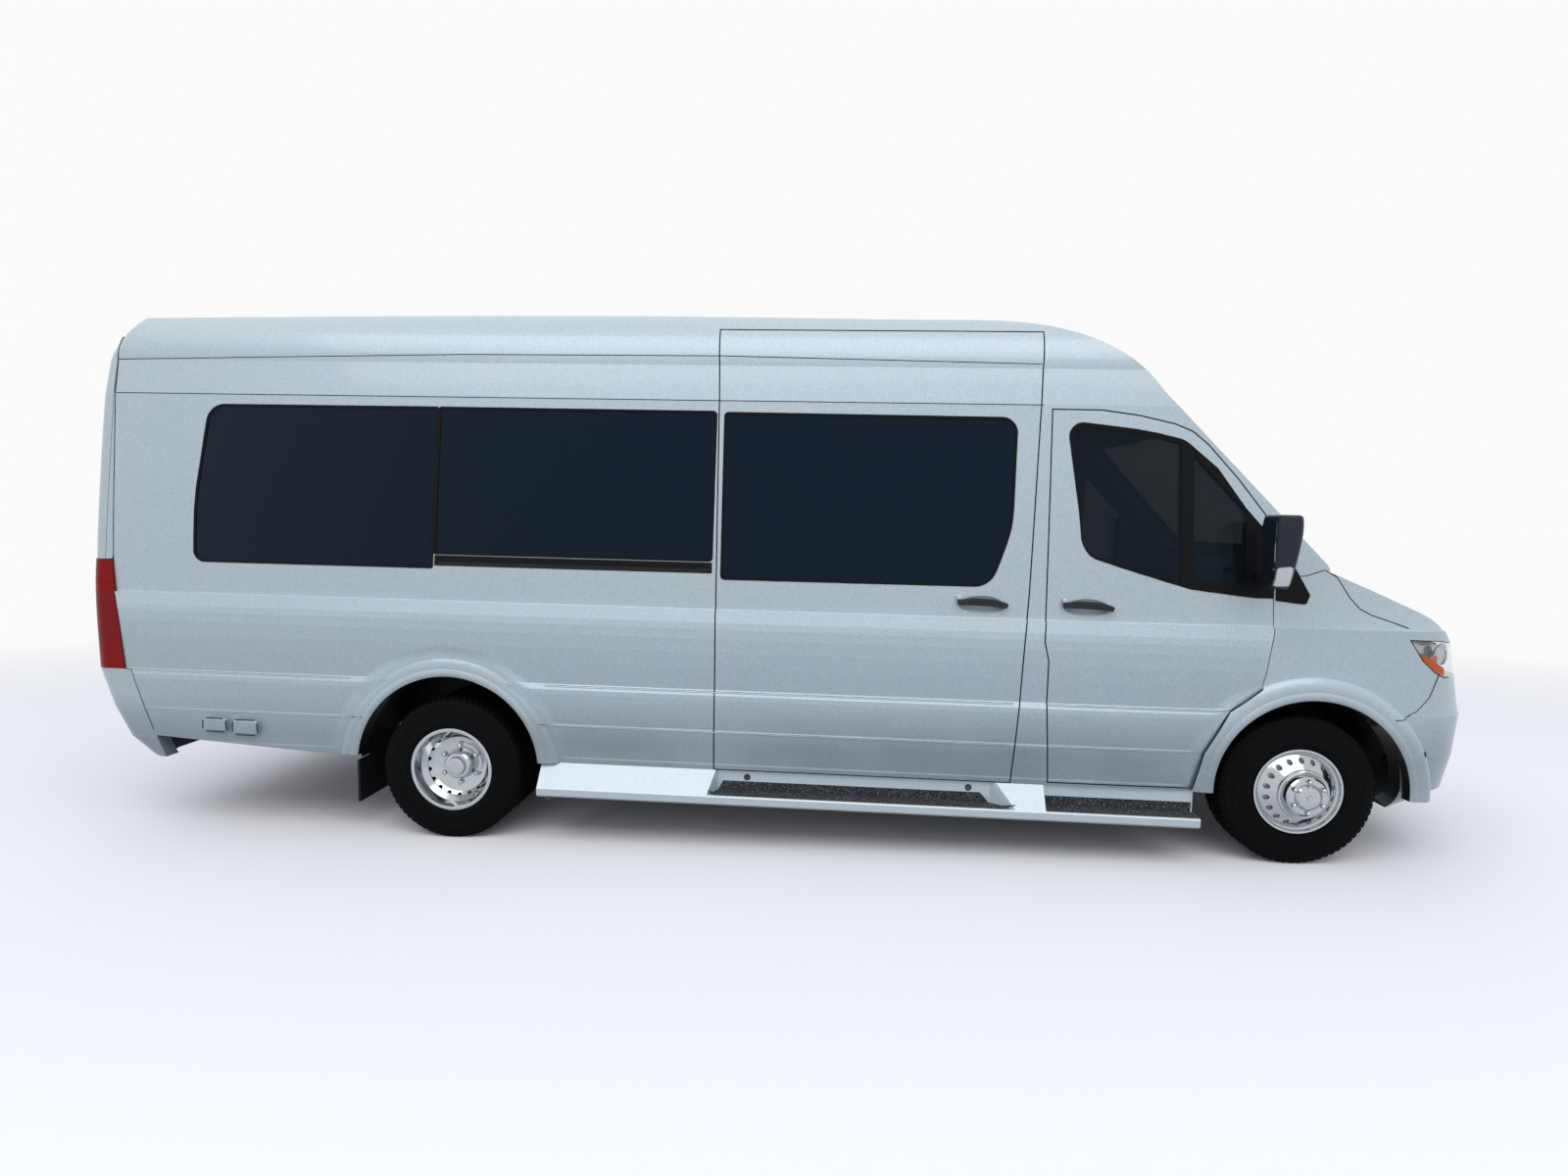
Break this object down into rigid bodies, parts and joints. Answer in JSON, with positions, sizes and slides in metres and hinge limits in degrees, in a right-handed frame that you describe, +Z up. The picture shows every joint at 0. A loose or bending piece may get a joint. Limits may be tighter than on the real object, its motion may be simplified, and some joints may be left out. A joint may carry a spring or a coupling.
{
  "type": "full-size passenger van",
  "caption": "Extra-long, high-roof van with twin rear wheels, opening cab doors, rear doors and bonnet, a fixed sliding door, side steps and steered front wheels.",
  "frame": {"origin": "on the ground, under the middle of the van's length and width", "axes": "+X ahead, +Y to the van's left, +Z up; the body leans nose-down by 1.07 degrees on its wheels"},
  "size_m": [7.3639, 2.344, 2.8537],
  "materials": {
    "body_paint": "glossy metallic",
    "bumper_paint": "glossy metallic on plastic",
    "grille_plastic": "gloss",
    "dark_glass": "privacy glass",
    "cab_glass": "tinted",
    "lamp_clear": "clear lens",
    "lamp_red": "gloss",
    "step_board": "painted, with grit mats",
    "black_plastic": "satin",
    "trim_plastic": "grained",
    "seat_cloth": "woven",
    "engine_block": "bare",
    "tank_plastic": "moulded",
    "exhaust_steel": "dull",
    "chassis_steel": "satin black",
    "underbody_paint": "sealed",
    "cast_steel": "bare",
    "tyre_rubber": "matte",
    "wheel_chrome": "polished"
  },
  "bodies": {
    "body": {"underbody": "underbody_paint", "roof": "body_paint", "right_side_panel": "body_paint", "left_side_panel": "body_paint", "cab_frame": "body_paint", "front_wings": "body_paint", "front_bumper": "bumper_paint", "grille": "grille_plastic", "rear_bumper": "bumper_paint", "fixed_windows": "dark_glass", "sliding_door": "body_paint", "headlamps": "lamp_clear", "tail_lamps": "lamp_red", "running_boards": "step_board", "arch_liners": "black_plastic", "dashboard": "trim_plastic", "seats": "seat_cloth", "engine": "engine_block", "fuel_tank": "tank_plastic", "exhaust": "exhaust_steel", "wipers": "black_plastic", "rear_axle": "chassis_steel", "front_subframe": "chassis_steel"},
    "steering": {"steering_wheel": "trim_plastic"},
    "right_cab_door": {"right_cab_door": "body_paint", "right_cab_glass": "cab_glass", "right_mirror": "black_plastic"},
    "left_cab_door": {"left_cab_door": "body_paint", "left_cab_glass": "cab_glass", "left_mirror": "black_plastic"},
    "right_rear_door": {"right_rear_door": "body_paint", "right_rear_glass": "dark_glass"},
    "left_rear_door": {"left_rear_door": "body_paint", "left_rear_glass": "dark_glass"},
    "bonnet": {"bonnet": "body_paint"},
    "left_knuckle": {"left_knuckle": "cast_steel"},
    "right_knuckle": {"right_knuckle": "cast_steel"},
    "front_left_wheel": {"front_left_tyre": "tyre_rubber", "front_left_rim": "wheel_chrome"},
    "front_right_wheel": {"front_right_tyre": "tyre_rubber", "front_right_rim": "wheel_chrome"},
    "rear_left_wheels": {"rear_left_tyres": "tyre_rubber", "rear_left_rims": "wheel_chrome"},
    "rear_right_wheels": {"rear_right_tyres": "tyre_rubber", "rear_right_rims": "wheel_chrome"}
  },
  "joints": [
    {"name": "right_cab_door_hinge", "type": "hinge", "parent": "body", "child": "right_cab_door", "pos_m": [2.50612, -0.99, 0.89336], "axis": [0.0186, 0.0599, 0.998], "range_deg": [0, 70]},
    {"name": "right_rear_door_hinge", "type": "hinge", "parent": "body", "child": "right_rear_door", "pos_m": [-3.57995, -0.972, 1.48211], "axis": [0.0186, 0.1064, 0.9942], "range_deg": [0, 180]},
    {"name": "left_cab_door_hinge", "type": "hinge", "parent": "body", "child": "left_cab_door", "pos_m": [2.50612, 0.99, 0.89336], "axis": [0.0186, -0.0599, 0.998], "range_deg": [-70, 0]},
    {"name": "left_rear_door_hinge", "type": "hinge", "parent": "body", "child": "left_rear_door", "pos_m": [-3.57995, 0.972, 1.48211], "axis": [0.0186, -0.1064, 0.9942], "range_deg": [-180, 0]},
    {"name": "bonnet_hinge", "type": "hinge", "parent": "body", "child": "bonnet", "pos_m": [2.81865, 0, 1.50763], "axis": [0, -1, 0], "range_deg": [0, 45]},
    {"name": "left_steer", "type": "hinge", "parent": "body", "child": "left_knuckle", "pos_m": [2.6575, 0.79, 0.376], "axis": [0, 0, 1], "range_deg": [-36, 36]},
    {"name": "right_steer", "type": "hinge", "parent": "body", "child": "right_knuckle", "pos_m": [2.6575, -0.79, 0.376], "axis": [0, 0, 1], "range_deg": [-36, 36]},
    {"name": "steering_column", "type": "hinge", "parent": "body", "child": "steering", "pos_m": [2.18371, 0.43, 1.24944], "axis": [-0.6008, 0, 0.7994], "range_deg": [-504, 504]},
    {"name": "front_left_wheel_spin", "type": "hinge", "parent": "left_knuckle", "child": "front_left_wheel", "pos_m": [2.6575, 0.868, 0.376], "axis": [0, 1, 0], "continuous": true},
    {"name": "rear_left_wheels_spin", "type": "hinge", "parent": "body", "child": "rear_left_wheels", "pos_m": [-1.6675, 0.773, 0.376], "axis": [0, 1, 0], "continuous": true},
    {"name": "front_right_wheel_spin", "type": "hinge", "parent": "right_knuckle", "child": "front_right_wheel", "pos_m": [2.6575, -0.868, 0.376], "axis": [0, 1, 0], "continuous": true},
    {"name": "rear_right_wheels_spin", "type": "hinge", "parent": "body", "child": "rear_right_wheels", "pos_m": [-1.6675, -0.773, 0.376], "axis": [0, 1, 0], "continuous": true}
  ],
  "couplings": [
    {"joint": "right_steer", "follows": "left_steer", "ratio": 1},
    {"joint": "steering_column", "follows": "left_steer", "ratio": 14}
  ]
}
